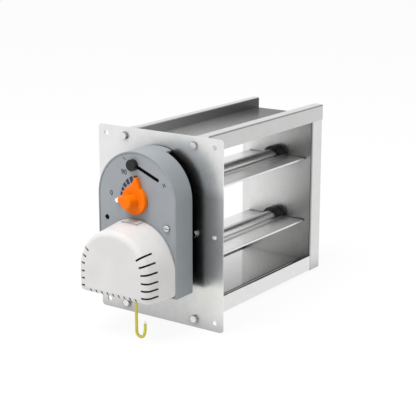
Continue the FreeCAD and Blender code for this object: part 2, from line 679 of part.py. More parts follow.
def bush(name, level, flange_y, sleeve_y):
    """A flanged bush in a web."""
    flange = rod(f"{name}_flange", "bush_flange_radius", "0", flange_y, level)
    sleeve = rod(f"{name}_sleeve", "sleeve_radius", "0", sleeve_y, level)
    bore = rod(f"{name}_bore", "shaft_radius + running_gap", "0",
               (f"{sleeve_y[0]} - 1", f"{sleeve_y[1]} + 1"), level)
    return cut(name, fuse(f"{name}_solid", flange, sleeve), bore)


for place, level in BLADES.items():
    node(f"{place}_blade", blade(place, level))
    node(f"{place}_far_pivot",
         carrier(f"{place}_far_pivot", level, "blade_far", "1", "far_head", "far_bush_back"))
    node(f"{place}_near_pivot", carrier(f"{place}_near_pivot", level, "blade_near", "-1", "near_head"))
    node(f"{place}_far_bush", bush(f"{place}_far_bush", level, ("far_flange_front", "far_flange_back"),
                                   ("far_web", "far_bush_back")))
    node(f"{place}_near_bush", bush(f"{place}_near_bush", level, ("channel_rise", "near_bush_back"),
                                    ("near_bush_front", "near_bush_back")))

node("drive_shaft", rod("drive_shaft", "shaft_radius", "0",
                        ("grip_front + grip_wall", "blade_near + axle_grip"), "axis_z"))
node("lower_axle", rod("lower_axle", "shaft_radius", "0",
                       ("crank_start - 1", "blade_near + axle_grip"), "-axis_z"))

# Link between the blades, in the near-end channel behind the plate


def crank(name, level):
    """A hub on the shaft, an arm that leans back and up, and the link pin at its eye."""
    pin_x, pin_z = "-crank_offset", f"{level} + crank_offset"
    arm = padded(f"{name}_arm", "XZ_Plane", "-arm_front", "link_sheet",
                 [("arm_half", f"{level} + arm_half"), (f"{pin_x} + arm_half", f"{pin_z} + arm_half"),
                  (f"{pin_x} - arm_half", f"{pin_z} - arm_half"), ("-arm_half", f"{level} - arm_half")])
    hub = rod(f"{name}_hub", "crank_hub_radius", "0", ("crank_start", "crank_back"), level)
    eye = rod(f"{name}_eye", "link_eye", pin_x, ("crank_start", "arm_front"), pin_z)
    pin = rod(f"{name}_pin", "link_pin", pin_x, ("crank_start", "clip_back + pin_over"), pin_z)
    bore = rod(f"{name}_bore", "shaft_radius + running_gap", "0", ("crank_start - 1", "channel_rise"), level)
    return cut(name, fuse(f"{name}_solid", arm, hub, eye, pin), bore)


def pin_clip(name, level):
    pin_x, pin_z = "-crank_offset", f"{level} + crank_offset"
    ring = rod(f"{name}_ring", "clip_radius", pin_x, ("clip_front", "clip_back"), pin_z)
    through = ("clip_front - 1", "clip_back + 1")
    bore = rod(f"{name}_bore", "link_pin + running_gap", pin_x, through, pin_z)
    gap = box(f"{name}_gap", (f"{pin_x} - clip_slit/2", f"{pin_x} + clip_slit/2"), through,
              (f"{pin_z} - clip_radius - 1", pin_z))
    return cut(name, ring, bore, gap)


for place, level in BLADES.items():
    node(f"{place}_crank", crank(f"{place}_crank", level))
    node(f"{place}_pin_clip", pin_clip(f"{place}_pin_clip", level))

low_pin_z = "-axis_z + crank_offset"
rod_y = ("rod_front", "rod_back")
tie = fuse("tie_rod_solid",
           box("tie_rod_bar", ("-crank_offset - link_width/2", "-crank_offset + link_width/2"), rod_y,
               (low_pin_z, "pin_z")),
           rod("tie_rod_top_eye", "link_eye", "-crank_offset", rod_y, "pin_z"),
           rod("tie_rod_low_eye", "link_eye", "-crank_offset", rod_y, low_pin_z))
node("tie_rod", cut("tie_rod", tie,
                    rod("tie_rod_top_hole", "link_pin + running_gap", "-crank_offset",
                        ("rod_front - 1", "rod_back + 1"), "pin_z"),
                    rod("tie_rod_low_hole", "link_pin + open_pivot_gap", "-crank_offset",
                        ("rod_front - 1", "rod_back + 1"), low_pin_z)))

# Actuator housing: straight sides under a half-round arch


def arched(name, half, bottom, y):
    """The housing's outline, half wide, from bottom to the arch about the drive axis."""
    return fuse(name, box(name + "_sides", (f"-({half})", half), y, (bottom, "axis_z")),
                rod(name + "_arch", half, "0", y, "axis_z"))


def slot_place(travel):
    """A point on the slider's slot, at a length from its minus end."""
    return f"slot_start_x + slot_run*({travel})", f"slot_start_z - slot_fall*({travel})"


def slot_cutter(name, width, y):
    start, end = slot_place("0"), slot_place("slot_travel")
    run = doc.addObject("Part::Box", name + "_run")
    lean = Rotation(Vector(0, 1, 0), VALUES["slot_tilt"])
    run.Placement = FreeCAD.Placement(Vector(), lean)
    bind(run, Length="slot_travel", Width=f"({y[1]}) - ({y[0]})", Height=width,
         Placement__Base__x=f"{start[0]} - slot_fall*({width})/2", Placement__Base__y=y[0],
         Placement__Base__z=f"{start[1]} - slot_run*({width})/2")
    ends = [rod(f"{name}_end_{i}", f"({width})/2", x, y, z) for i, (x, z) in enumerate((start, end), 1)]
    return fuse(name, run, *ends)


face_through = ("housing_front - 1", "housing_inside + 1")
outer = arched("housing_outer", "housing_half", "-housing_drop", ("housing_front", "housing_back"))
skirt = doc.addObject("Part::Cylinder", "housing_skirt")
skirt.Placement = FreeCAD.Placement(Vector(), TURNS["Y"].multiply(Rotation(Vector(0, 0, 1), 180)))
bind(skirt, Radius="housing_half", Angle="90 + skirt_turn", Height="standoff_length - skirt_gap + 1",
     Placement__Base__y="housing_back - 1", Placement__Base__z="axis_z")
cavity = arched("housing_cavity", "cavity_half", "-housing_drop + housing_wall",
                ("housing_inside", "plate_front"))
shell = cut("housing_shell", fuse("housing_whole", outer, skirt), cavity)
FACE_SCREWS = ("face_screw_across", "-face_screw_across")
bosses = [rod(f"boss_{i}", "boss_radius", x, ("housing_front + boss_start", "back_plate_front"),
              "face_screw_height") for i, x in enumerate(FACE_SCREWS, 1)]
housing_solid = fuse("housing_solid", shell, *bosses)
EAR_SCREWS = ("-ear_screw_across", "ear_screw_across")


def face_openings(name, y):
    """The holes that the dial plate and the housing's face share."""
    openings = [rod(f"{name}_shaft_hole", "shaft_radius + shaft_window", "0", y, "axis_z"),
                rod(f"{name}_motor_hole", "gear_pin_radius + motor_window", "0", y, "motor_z"),
                slot_cutter(f"{name}_slot", "slot_width", y)]
    for x in EAR_SCREWS:
        openings.append(rod(f"{name}_motor_screw_hole", "ear_screw + running_gap", x, y, "-motor_drop"))
    return openings


recess = arched("dial_recess", "dial_half", "-housing_drop + rim_width",
                ("housing_front - 1", "dial_back"))
housing_tools = [recess] + face_openings("housing", face_through)
for i, x in enumerate(FACE_SCREWS, 1):
    housing_tools.append(rod(f"boss_bore_{i}", "small_screw + running_gap", x,
                             ("housing_front - 1", "housing_back"), "face_screw_height"))
housing_tools.append(rod("sunk_bore", "sunk_head + head_room", "-face_screw_across",
                         ("housing_front - 1", "dial_back + sunk_depth"), "face_screw_height"))
housing_sharp = cut("housing_sharp", housing_solid, *housing_tools)


def front_rim(edge):
    reach = edge.BoundBox
    flat = near(reach.YMin, "housing_front") and near(reach.YMax, "housing_front")
    return flat and max(abs(reach.XMin), abs(reach.XMax)) > number("housing_half") - 0.1


node("actuator_housing", rounded("actuator_housing", housing_sharp, "rim_round", front_rim))

dial_y = ("dial_front - 1", "dial_back + 1")
dial_tools = face_openings("dial", dial_y)
for x, hole in zip(FACE_SCREWS, ("small_screw + running_gap", "sunk_head + head_room")):
    dial_tools.append(rod("dial_screw_hole", hole, x, dial_y, "face_screw_height"))
dial_tools.append(rod("dial_index_hole", "index_stem + running_gap", "-index_place", dial_y, "index_z"))
dial_blank = arched("dial_blank", "dial_half - dial_gap", "-housing_drop + rim_width + dial_gap",
                    ("dial_front", "dial_back"))
node("dial_plate", cut("dial_plate", dial_blank, *dial_tools))


def front_circle(place):
    """Picks the flat edges that lie at a place along Y."""
    return lambda edge: edge.BoundBox.YLength < 0.01 and near(edge.BoundBox.YMin, place)


def pan_screw(name, x, z, seat, length, radius="small_head"):
    """A screw whose head lies in front of seat and whose shank runs into +Y."""
    top = f"{seat} - small_head_height"
    head = rod(f"{name}_head", radius, x, (top, seat), z)
    slot = box(f"{name}_slot", (f"{x} - {radius}", f"{x} + {radius}"),
               (f"{top} - 1", f"{top} + driver_depth"), (f"{z} - driver_slot/2", f"{z} + driver_slot/2"))
    shank = rod(f"{name}_shank", "small_screw", x, (f"{top} + driver_depth", f"{seat} + {length}"), z)
    dome = rounded(f"{name}_dome", head, "small_head_round", front_circle(top))
    return cut(name, fuse(f"{name}_solid", dome, shank), slot)


node("housing_screws", group(
    "housing_screws",
    pan_screw("right_face_screw", FACE_SCREWS[0], "face_screw_height", "dial_front", "face_thread"),
    pan_screw("left_face_screw", FACE_SCREWS[1], "face_screw_height", "dial_back + sunk_depth",
              "face_thread", "sunk_head")))

back_tools = [rod("back_bush_hole", web_hole, "0", ("back_plate_front - 1", "housing_back + 1"), "axis_z"),
              rod("back_gear_pin", "gear_pin_radius + running_gap", "0",
                  ("back_plate_front - 1", "housing_back + 1"), "gear_z")]
for x, z in STANDOFFS:
    back_tools.append(rod("back_screw_hole", "small_screw + running_gap", x,
                          ("back_plate_front - 1", "housing_back + 1"), z))
back_blank = arched("back_blank", "cavity_half - back_gap", "-housing_drop + housing_wall + back_gap",
                    ("back_plate_front", "housing_back"))
node("actuator_back_plate", cut("actuator_back_plate", back_blank, *back_tools))

standoffs, rear_screws, inner_screws = [], [], []
for i, (x, z) in enumerate(STANDOFFS, 1):
    post = rod(f"post_{i}", "standoff_radius", x, ("housing_back", "plate_front"), z)
    thread = rod(f"thread_{i}", "small_screw + running_gap", x, ("housing_back - 1", "plate_front + 1"), z)
    standoffs.append(cut(f"standoff_{i}", post, thread))
    rear_head = rod(f"rear_head_{i}", "small_head", x, ("0", "small_head_height"), z)
    rear_shank = rod(f"rear_shank_{i}", "small_screw", x,
                     ("plate_front - standoff_thread", "small_head_height"), z)
    rear_screws.append(fuse(f"rear_screw_{i}", rear_head, rear_shank))
    inner_screws.append(pan_screw(f"inner_screw_{i}", x, z, "back_plate_front",
                                  "back_sheet + standoff_thread"))
node("actuator_standoffs", group("actuator_standoffs", *standoffs))
node("standoff_screws", group("standoff_screws", *rear_screws))
node("back_plate_screws", group("back_plate_screws", *inner_screws))

shaft_bush = fuse("actuator_bush_solid",
                  rod("actuator_bush_flange", "bush_flange_radius", "0",
                      ("collar_front", "back_plate_front"), "axis_z"),
                  rod("actuator_bush_sleeve", "sleeve_radius", "0",
                      ("collar_front", "housing_back + collar_sheet"), "axis_z"))
bush_bore = rod("actuator_bush_bore", "shaft_radius + running_gap", "0",
                ("collar_front - 1", "housing_back + collar_sheet + 1"), "axis_z")
node("actuator_bush", cut("actuator_bush", shaft_bush, bush_bore))

# Gears, with involute flanks; each pair meshes on the line X = 0


def gear_profile(teeth, facing_up, gap_there):
    """A closed outline of a gear about the origin, in X and Z, with a tooth or a gap facing the mate."""
    module = VALUES["gear_pitch"]
    pitch = module*teeth/2
    base = pitch*math.cos(math.radians(20))
    root, tip = pitch - 1.2*module, pitch + 0.85*module
    half = math.pi/teeth*0.47

    def involute(radius):
        roll = math.acos(min(1, base/radius))
        return math.tan(roll) - roll
    radii = [root] + [max(base, root) + (tip - max(base, root))*k/4 for k in range(5)]
    flank = [(r, half + involute(pitch) - involute(max(r, base))) for r in radii]
    start = math.pi/2 if facing_up else -math.pi/2
    start += math.pi/teeth if gap_there else 0
    points = []
    for i in range(teeth):
        centre = start + 2*math.pi*i/teeth
        for radius, spread in flank:
            points.append((radius, centre - spread))
        for radius, spread in reversed(flank):
            points.append((radius, centre + spread))
    return [Vector(r*math.cos(turn), 0, r*math.sin(turn)) for r, turn in points]


def gear(name, teeth, facing_up, gap_there, z, y):
    """A toothed disc between the two places along Y, as a shape."""
    points = gear_profile(int(VALUES[teeth]), facing_up, gap_there)
    face = Part.Face(Part.makePolygon(points + points[:1]))
    disc = face.extrude(Vector(0, number(f"({y[1]}) - ({y[0]})"), 0))
    thing = doc.addObject("Part::Feature", name)
    thing.Shape = disc
    thing.Placement = FreeCAD.Placement(Vector(), Rotation())
    bind(thing, Placement__Base__y=y[0], Placement__Base__z=z)
    return thing


output_y = ("output_front", "output_back")
middle_y = ("middle_front", "middle_back")
output = fuse("output_gear_solid",
              gear("output_teeth_disc", "output_teeth", False, False, "axis_z", output_y),
              rod("output_gear_hub", "output_hub", "0", ("output_front", "collar_front - end_play"),
                  "axis_z"))
output_bore = rod("output_bore", "shaft_radius + running_gap", "0",
                  ("output_front - 1", "back_plate_front"), "axis_z")
node("output_gear", cut("output_gear", output, output_bore))
middle = fuse("middle_gear_solid", gear("middle_pinion", "small_teeth", True, True, "gear_z", output_y),
              gear("middle_disc", "middle_teeth", False, False, "gear_z", middle_y),
              rod("middle_gear_hub", "middle_hub", "0", ("output_back - 1", "middle_front + 1"), "gear_z"))
middle_bore = rod("middle_bore", "gear_pin_radius + running_gap", "0",
                  ("housing_inside", "back_plate_front"), "gear_z")
node("intermediate_gear", cut("intermediate_gear", middle, middle_bore))
node("gear_pin", rod("gear_pin", "gear_pin_radius", "0", ("housing_inside", "housing_back"), "gear_z"))
motor_shaft = rod("motor_shaft", "gear_pin_radius", "0",
                  ("mount_front + end_play", "middle_front + 1"), "motor_z")
node("motor_pinion", fuse("motor_pinion", gear("motor_teeth", "small_teeth", True, True, "motor_z", middle_y),
                          motor_shaft))

# Motor, terminals and switches

can_sharp = rod("motor_can_sharp", "motor_radius", "0", ("motor_front", "mount_front"), "-motor_drop")
can = rounded("motor_can", can_sharp, "can_round", front_circle("motor_front"))
nose = rod("motor_nose", "nose_radius", "0", ("motor_front - nose_length", "motor_front + 1"),
           "-motor_drop")
node("motor_body", fuse("motor_body", can, nose))
mount_y = ("mount_front", "dial_front")
mount_through = ("mount_front - 1", "dial_front + 1")
mount_disc = rod("motor_mount_disc", "motor_radius + motor_rim", "0", mount_y, "-motor_drop")
mount_ears = box("motor_mount_ears", ("-ear_reach", "ear_reach"), mount_y,
                 ("-motor_drop - ear_half", "-motor_drop + ear_half"))
mount_blank = fuse("motor_mount_blank", mount_disc, mount_ears)
mount_tools = [rod("motor_mount_hole", "gear_pin_radius + motor_window", "0", mount_through, "motor_z")]
for x in EAR_SCREWS:
    mount_tools.append(rod("motor_ear_hole", "ear_screw + running_gap", x, mount_through, "-motor_drop"))
node("motor_mount_plate", cut("motor_mount_plate", mount_blank, *mount_tools))
motor_screws = []
for i, x in enumerate(EAR_SCREWS, 1):
    head = rod(f"motor_screw_head_{i}", "ear_head", x, ("mount_front - ear_head_height", "mount_front"),
               "-motor_drop")
    shank = rod(f"motor_screw_shank_{i}", "ear_screw", x,
                ("mount_front - ear_head_height", "housing_inside + ear_screw_over"), "-motor_drop")
    motor_screws.append(fuse(f"motor_screw_{i}", head, shank))
node("motor_screws", group("motor_screws", *motor_screws))

block = box("terminal_blank", ("terminal_across - terminal_width/2", "terminal_across + terminal_width/2"),
            ("dial_front - terminal_depth", "dial_front"),
            ("-terminal_drop - terminal_height/2", "-terminal_drop + terminal_height/2"))
sink = ("dial_front - terminal_depth - 1", "dial_front - terminal_depth + terminal_sink")
terminal_tools = [rod("terminal_hole", "terminal_hole", f"terminal_across + {step}*terminal_pitch", sink,
                      "-terminal_drop") for step in ("-1", "0", "1")]
node("terminal_block", cut("terminal_block", block, *terminal_tools))

switches = []
for side, sign in (("left", -1), ("right", 1)):
    case = box(f"{side}_switch_case",
               span(f"{sign}*switch_inner", f"{sign}*(switch_inner + switch_length)"),
               ("back_plate_front - switch_depth", "back_plate_front"),
               ("switch_low", "switch_low + switch_height"))
    lever = box(f"{side}_switch_lever",
                span(f"{sign}*(switch_inner + lever_inset)",
                     f"{sign}*(switch_inner + switch_length - lever_inset)"),
                ("back_plate_front - switch_depth + lever_inset", "back_plate_front - lever_inset"),
                ("switch_low - lever_sheet", "switch_low"))
    switches.append(fuse(f"{side}_switch", case, lever))
node("limit_switches", group("limit_switches", *switches))

# Position knob, index pin and slider


def pointer_spot(across, reach):
    """A point beside the pointer's middle line and at a reach from the knob's axis."""
    return (f"lean_run*{across} + lean_fall*{reach}", f"axis_z - lean_fall*{across} + lean_run*{reach}")


pointer = padded("knob_pointer", "XZ_Plane", "-knob_back", "knob_disc",
                 [pointer_spot("(-pointer_foot)", "pointer_start"),
                  pointer_spot("(-pointer_tip)", "knob_tip"), pointer_spot("pointer_tip", "knob_tip"),
                  pointer_spot("pointer_foot", "pointer_start")])


def pointer_rim(edge):
    """The pointer's front edges past the disc's rim."""
    far_out = max(math.hypot(spot.X, spot.Z - number("axis_z")) for spot in edge.Vertexes)
    return front_circle("knob_front")(edge) and far_out > number("knob_radius")


pointer_soft = rounded("knob_pointer_soft", pointer, "knob_round", pointer_rim)
knob_disc = rod("knob_disc", "knob_radius", "0", ("knob_front", "knob_back"), "axis_z")
knob_flange = rounded("knob_flange", knob_disc, "knob_round", front_circle("knob_front"))
knob_top = fuse("knob_top", knob_flange, pointer_soft)
grip_y = ("grip_front", "knob_front + 1")
grip = fuse("knob_grip_sharp", rod("knob_stem", "knob_grip_radius", "0", grip_y, "axis_z"),
            rod("knob_nub", "knob_nub_radius", "knob_nub_radius - knob_nub_reach", grip_y,
                "axis_z + knob_nub_rise"))
grip_soft = rounded("knob_grip_soft", grip, "grip_round", front_circle("grip_front"))
knob_bore = rod("knob_bore", "shaft_radius + running_gap", "0",
                ("grip_front + grip_wall - running_gap", "knob_back + 1"), "axis_z")
node("position_knob", cut("position_knob", fuse("knob_solid", knob_top, grip_soft), knob_bore))

index_head = rod("index_head", "index_radius", "-index_place",
                 ("dial_front - index_height", "dial_front"), "index_z")
index_stem = rod("index_stem_rod", "index_stem", "-index_place", ("dial_front - 1", "dial_back"),
                 "index_z")
node("index_pin", fuse("index_pin", index_head, index_stem))

guide_y = ("dial_front", "housing_inside")
guide_through = ("dial_front - 1", "housing_inside + 1")
node("slider_guide", cut("slider_guide", slot_cutter("guide_outside", "slot_width", guide_y),
                         slot_cutter("guide_inside", "guide_slot", guide_through)))

slider_x, slider_z = slot_place("0")
stem_radius = "guide_slot/2 - end_play/2"
shoe_front, shoe_back = "housing_inside + end_play", "housing_inside + end_play + shoe_sheet"
slider_disc = rod("slider_cap_sharp", "slider_radius", slider_x, ("slider_front", "slider_back"), slider_z)
slider_cap = rounded("slider_cap", slider_disc, "slider_round", front_circle("slider_front"))
slider_stem = rod("slider_stem", stem_radius, slider_x,
                  ("slider_back - 1", f"{shoe_front} + shoe_sheet/2"), slider_z)
node("slider_knob", fuse("slider_knob", slider_cap, slider_stem))
shoe = box("shoe_blank", (f"{slider_x} - shoe_half", f"{slider_x} + shoe_half"), (shoe_front, shoe_back),
           (f"{slider_z} - shoe_half", f"{slider_z} + shoe_half"))
shoe_hole = rod("shoe_hole", f"{stem_radius} + running_gap", slider_x,
                ("housing_inside", f"{shoe_back} + 1"), slider_z)
node("slider_shoe", cut("slider_shoe", shoe, shoe_hole))

# Motor cover: a tapered D-shaped shell with vents and a latch tab


def cover_arch(name, inset, front):
    """The arched upper half: a half cone whose radius shrinks with the draft."""
    cone = doc.addObject("Part::Cone", name)
    cone.Angle = 180
    cone.Placement = FreeCAD.Placement(Vector(), Rotation(Vector(1, 0, 0), 90))
    bind(cone, Radius1=f"cover_radius - {inset}", Height=f"housing_front - ({front})",
         Radius2=f"cover_radius - {inset} - draft_slope*(housing_front - ({front}))",
         Placement__Base__y="housing_front", Placement__Base__z="-cover_centre")
    return cone


def cover_solid(name, inset, front, radius):
    """Sides and arch in one, with rounded lower corners and front edge."""
    sides = doc.addObject("Part::Wedge", name + "_sides")
    shrink = f"draft_slope*(housing_front - ({front}))"
    lift = f"floor_slope*(housing_front - ({front}))"
    half, low = f"(cover_radius - {inset})", f"(-(cover_bottom - {inset}))"
    bind(sides, Xmin=f"-({half} - {shrink})", Xmax=f"{half} - {shrink}", X2min=f"-{half}", X2max=half,
         Ymin=front, Ymax="housing_front", Zmin=f"{low} + {lift}", Zmax="-cover_centre",
         Z2min=low, Z2max="-cover_centre")
    sharp = fuse(name + "_sharp", sides, cover_arch(name + "_arch", inset, front))

    def lower_corner(edge):
        reach = edge.BoundBox
        slanted = min(reach.XLength, reach.ZLength) > number(lift)/2
        return slanted and reach.YLength > number("cover_depth")/2 and near(reach.ZMin, low)
    cornered = rounded(name + "_cornered", sharp, f"cover_corner - {inset}/2", lower_corner)
    return rounded(name, cornered, radius, front_circle(front))


cover_out = cover_solid("cover_out", "0", "cover_front", "cover_round")
cover_in = cover_solid("cover_in", "cover_wall", "cover_inner", "cover_round - cover_wall")
tab_sharp = box("cover_tab_sharp", ("-tab_half", "tab_half"), ("housing_front - tab_depth", "housing_front"),
                ("tab_top - tab_height", "tab_top"))
tab = rounded("cover_tab", tab_sharp, "tab_round",
              lambda edge: along(edge, "Y") and near(edge.Vertexes[0].Point.z, "tab_top"))
cover_whole = fuse("cover_whole", cover_out, tab)
vents = []
vent_y = ("cover_front - 1", "cover_front + vent_depth")


def level_vents(side, sign):
    """The vents that lie level, one below the other, on a straight side."""
    across = span(f"{sign}*vent_inner", f"{sign}*(vent_inner + vent_reach)")
    for i in range(VALUES["vent_count"]):
        middle_z = f"-cover_centre - vent_start - {i}*vent_pitch"
        vents.append(box(f"{side}_vent_{i + 1}", across, vent_y,
                         (f"{middle_z} - vent_width/2", f"{middle_z} + vent_width/2")))


def fan_vents(side, sign):
    """The vents on the arch, each along a radius from the arch's centre."""
    for i in range(VALUES["vent_count"]):
        turn = VALUES["fan_start"] + VALUES["fan_pitch"]*i
        tilt = Rotation(Vector(0, 1, 0), -turn if sign > 0 else 180 + turn)
        corner = tilt.multVec(Vector(number("vent_inner"), 0, -VALUES["vent_width"]/2))
        fan = doc.addObject("Part::Box", f"{side}_fan_vent_{i + 1}")
        fan.Placement = FreeCAD.Placement(Vector(), tilt)
        bind(fan, Length="vent_reach", Width="vent_depth + 1", Height="vent_width",
             Placement__Base__x=f"{corner.x:.9f}", Placement__Base__y=vent_y[0],
             Placement__Base__z=f"-cover_centre + {corner.z:.9f}")
        vents.append(fan)


for side, sign in (("right", 1), ("left", -1)):
    level_vents(side, sign)
    fan_vents(side, sign)
floor_vent_y = ("cover_front - 1", "cover_front + floor_vent_depth")
for i in range(VALUES["floor_vent_count"]):
    middle_x = f"({i} - (floor_vent_count - 1)/2)*floor_vent_pitch"
    vents.append(box(f"floor_vent_{i + 1}", (f"{middle_x} - vent_width/2", f"{middle_x} + vent_width/2"),
                     floor_vent_y, ("-cover_bottom - 1", "-cover_bottom + floor_vent_rise")))
lead_y = "-lead_forward"
lead_hole = rod("lead_opening", "lead_hole", "lead_across", lead_y,
                ("floor_z - cover_wall", "floor_z + 2*cover_wall"), "Z")
node("motor_cover", cut("motor_cover", cover_whole, cover_in, lead_hole, *vents))

# Yellow lead: grommet, hanging hooked wire and bare tip

grommet_low = ("floor_z - grommet_slack - grommet_sheet", "floor_z - grommet_slack")
grommet_top = ("floor_z + cover_wall + grommet_slack", "floor_z + cover_wall + grommet_slack + grommet_sheet")
grommet_core = (grommet_low[0], grommet_top[1])
node("lead_grommet", fuse(
    "lead_grommet",
    rod("grommet_outer_flange", "grommet_radius", "lead_across", lead_y, grommet_low, "Z"),
    rod("grommet_inner_flange", "grommet_radius", "lead_across", lead_y, grommet_top, "Z"),
    rod("grommet_middle", "grommet_core", "lead_across", lead_y, grommet_core, "Z")))

LEAD_EXIT = Vector(number("lead_across"), number(lead_y), number(grommet_low[0]))
ROUTE = [LEAD_EXIT, Vector(15.0, -61.5, -99.3), Vector(26.5, -61.5, -99.5), Vector(26.3, -61.5, -84.5)]


def route_wire(points):
    """Straight runs joined by tangent arcs, each as large as its two runs allow."""
    edges, last = [], points[0]
    for before, corner, after in zip(points, points[1:], points[2:]):
        back, ahead = (before - corner).normalize(), (after - corner).normalize()
        half_turn = (math.pi - back.getAngle(ahead))/2
        cut_back = 0.45*min((before - corner).Length, (after - corner).Length)
        radius = cut_back/math.tan(half_turn)
        start, end = corner + back*cut_back, corner + ahead*cut_back
        middle = (back + ahead).normalize()
        centre = corner + middle*(radius/math.cos(half_turn))
        top = centre - middle*radius
        edges += [Part.LineSegment(last, start).toShape(), Part.Arc(start, top, end).toShape()]
        last = end
        print(f"lead bend radius {radius:.2f} mm")
    edges.append(Part.LineSegment(last, points[-1]).toShape())
    return Part.Wire(edges)


path = route_wire(ROUTE)
ring = Part.Wire(Part.makeCircle(VALUES["lead_radius"], ROUTE[0], ROUTE[1] - ROUTE[0]))
lead = doc.addObject("Part::Feature", "lead_wire")
lead.Shape = path.makePipeShell([ring], True, False)
expected = math.pi*VALUES["lead_radius"]**2*path.Length
print(f"lead length {path.Length:.1f} mm, volume {lead.Shape.Volume:.1f} of {expected:.1f} mm3")
node("lead_wire", lead)
end_way = (ROUTE[-1] - ROUTE[-2]).normalize()
tip = doc.addObject("Part::Feature", "lead_tip")
tip.Shape = Part.makeCylinder(VALUES["tip_radius"], VALUES["tip_length"], ROUTE[-1], end_way)
node("lead_tip", tip)

doc.recompute()
for thing in doc.Objects:
    if "Invalid" in thing.State or "Error" in thing.State:
        raise RuntimeError(f"{thing.Name} failed: {thing.State}")
for name, thing in NODES:
    if thing.Shape.isNull() or not thing.Shape.isValid() or not thing.Shape.Solids:
        raise RuntimeError(f"{name} has no valid shape")
os.makedirs("parts", exist_ok=True)
for name, thing in NODES:
    thing.Shape.exportStep(f"parts/{name}.step")
print(f"{len(NODES)} nodes")
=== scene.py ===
import json
import math

import bmesh
import bpy
from mathutils import Matrix, Vector

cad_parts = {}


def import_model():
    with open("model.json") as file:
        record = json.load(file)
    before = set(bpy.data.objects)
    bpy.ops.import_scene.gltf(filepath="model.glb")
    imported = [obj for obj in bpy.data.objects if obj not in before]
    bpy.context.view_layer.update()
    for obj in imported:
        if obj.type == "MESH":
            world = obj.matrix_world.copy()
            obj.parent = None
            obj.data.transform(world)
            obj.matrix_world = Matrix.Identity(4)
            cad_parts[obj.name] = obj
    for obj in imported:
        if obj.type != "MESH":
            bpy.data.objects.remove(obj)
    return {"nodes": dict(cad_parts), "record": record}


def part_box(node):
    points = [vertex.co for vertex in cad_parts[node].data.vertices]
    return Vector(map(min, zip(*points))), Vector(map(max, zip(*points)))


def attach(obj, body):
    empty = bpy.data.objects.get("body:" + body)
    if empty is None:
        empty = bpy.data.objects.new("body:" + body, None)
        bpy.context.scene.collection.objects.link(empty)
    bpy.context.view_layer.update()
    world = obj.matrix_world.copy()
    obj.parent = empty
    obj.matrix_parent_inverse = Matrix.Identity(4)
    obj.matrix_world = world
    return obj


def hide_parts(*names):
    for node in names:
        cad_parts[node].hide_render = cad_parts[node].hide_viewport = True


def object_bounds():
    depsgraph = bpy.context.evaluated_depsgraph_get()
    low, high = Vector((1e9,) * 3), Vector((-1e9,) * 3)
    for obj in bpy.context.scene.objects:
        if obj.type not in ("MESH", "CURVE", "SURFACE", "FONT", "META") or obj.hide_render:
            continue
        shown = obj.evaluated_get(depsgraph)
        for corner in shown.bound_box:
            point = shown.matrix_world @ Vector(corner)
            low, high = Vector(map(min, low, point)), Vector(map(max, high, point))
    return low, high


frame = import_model()
CAD_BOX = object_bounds()
NODES = frame["nodes"]
MM = 0.001

# Camera, at the photograph's viewing angle

CAMERA_PLACE = Vector((740.64, -965.36, 341.89))*MM
CAMERA_TURN = math.radians(35.147)
CAMERA_DROP = math.radians(14.82)
SENSOR = 36.0
IMAGE_SIDE = 416
FOCAL_PIXELS = 1201.1


def link(thing):
    bpy.context.scene.collection.objects.link(thing)
    return thing


def add_camera():
    data = bpy.data.cameras.new("camera")
    data.sensor_width = SENSOR
    data.lens = FOCAL_PIXELS*SENSOR/IMAGE_SIDE
    camera = link(bpy.data.objects.new("camera", data))
    level = math.cos(CAMERA_DROP)
    ahead = Vector((-math.sin(CAMERA_TURN)*level, math.cos(CAMERA_TURN)*level, -math.sin(CAMERA_DROP)))
    camera.location = CAMERA_PLACE
    camera.rotation_mode = "QUATERNION"
    camera.rotation_quaternion = ahead.to_track_quat("-Z", "Y")
    bpy.context.scene.camera = camera


add_camera()

# Materials

OPEN_SAMPLES = 8
EDGE_SAMPLES = 6
SOFT_BOUND = 0.6*MM
CLOSED_REACH = 45*MM


